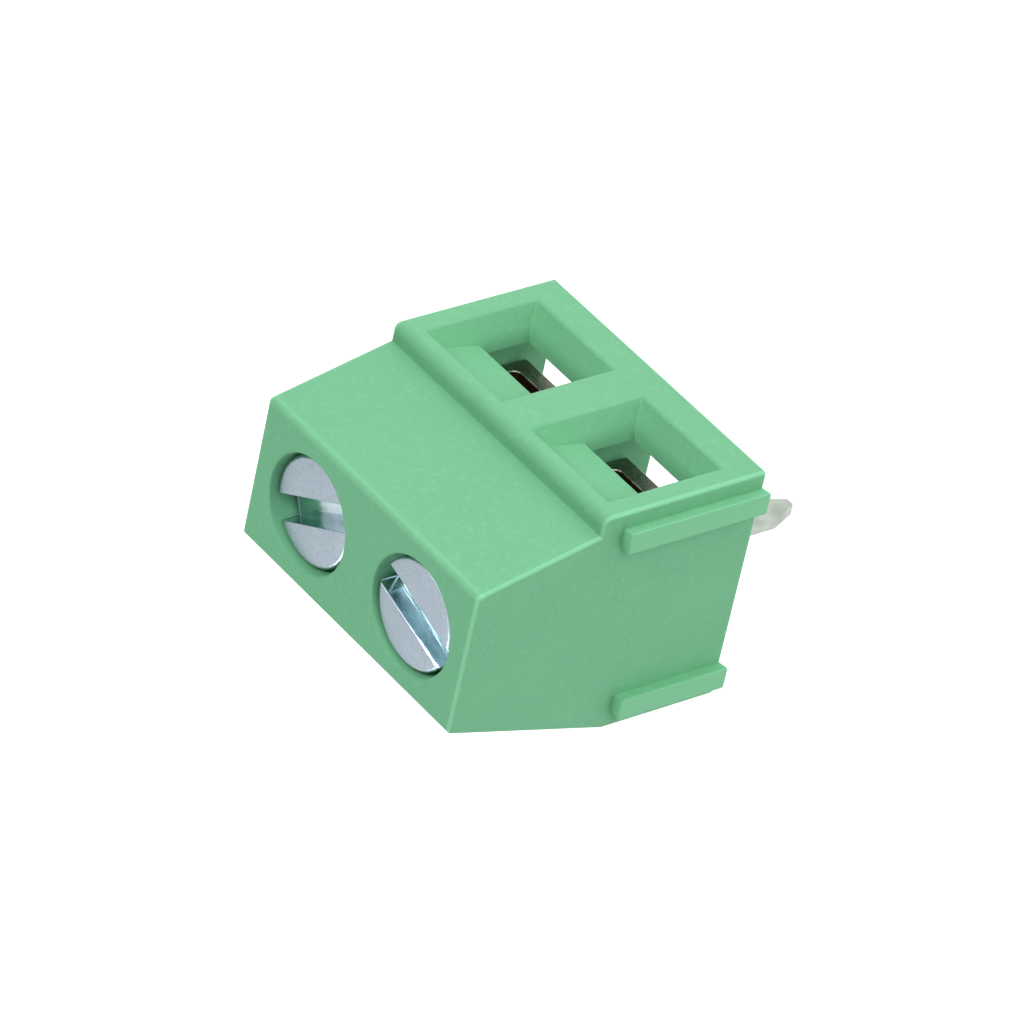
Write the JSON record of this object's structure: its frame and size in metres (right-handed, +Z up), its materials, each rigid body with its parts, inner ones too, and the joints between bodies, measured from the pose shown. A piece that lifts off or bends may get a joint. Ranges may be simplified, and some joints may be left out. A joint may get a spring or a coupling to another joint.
{
  "type": "pcb screw terminal",
  "caption": "Green screw terminal for a circuit board: each slotted screw raises a metal cage that presses a wire against a contact strip with a solder pin.",
  "frame": {"origin": "middle of the housing's underside, midway between the poles, in the plane of the screws' axes", "axes": "+Z up from the board to the screw face, -Y out of the wire entries, +X along the row of poles away from the ribbed end"},
  "size_m": [0.0104, 0.0078, 0.0136],
  "materials": {
    "housing_plastic": "satin moulded green polyamide",
    "screw_metal": "bluish zinc-plated steel",
    "cage_metal": "nickel-plated",
    "contact_metal": "tin-plated sheet"
  },
  "bodies": {
    "housing": {"housing": "housing_plastic", "left_contact": "contact_metal", "right_contact": "contact_metal"},
    "left_screw": {"left_screw": "screw_metal"},
    "right_screw": {"right_screw": "screw_metal"},
    "left_cage": {"left_cage": "cage_metal"},
    "right_cage": {"right_cage": "cage_metal"}
  },
  "joints": [
    {"name": "left_screw_turn", "type": "hinge", "parent": "housing", "child": "left_screw", "pos_m": [-0.0025, 0, 0.00962], "axis": [0, 0, -1], "range_deg": [-217, 1347]},
    {"name": "right_screw_turn", "type": "hinge", "parent": "housing", "child": "right_screw", "pos_m": [0.0025, 0, 0.00951], "axis": [0, 0, -1], "range_deg": [-109, 1455]},
    {"name": "left_cage_rise", "type": "slide", "parent": "housing", "child": "left_cage", "axis": [0, 0, 1], "range_m": [-0.0003, 0.00187]},
    {"name": "right_cage_rise", "type": "slide", "parent": "housing", "child": "right_cage", "axis": [0, 0, 1], "range_m": [-0.00015, 0.00202]}
  ],
  "couplings": [
    {"joint": "left_screw_turn", "follows": "left_cage_rise", "rad_per_m": 12566},
    {"joint": "right_screw_turn", "follows": "right_cage_rise", "rad_per_m": 12566}
  ]
}
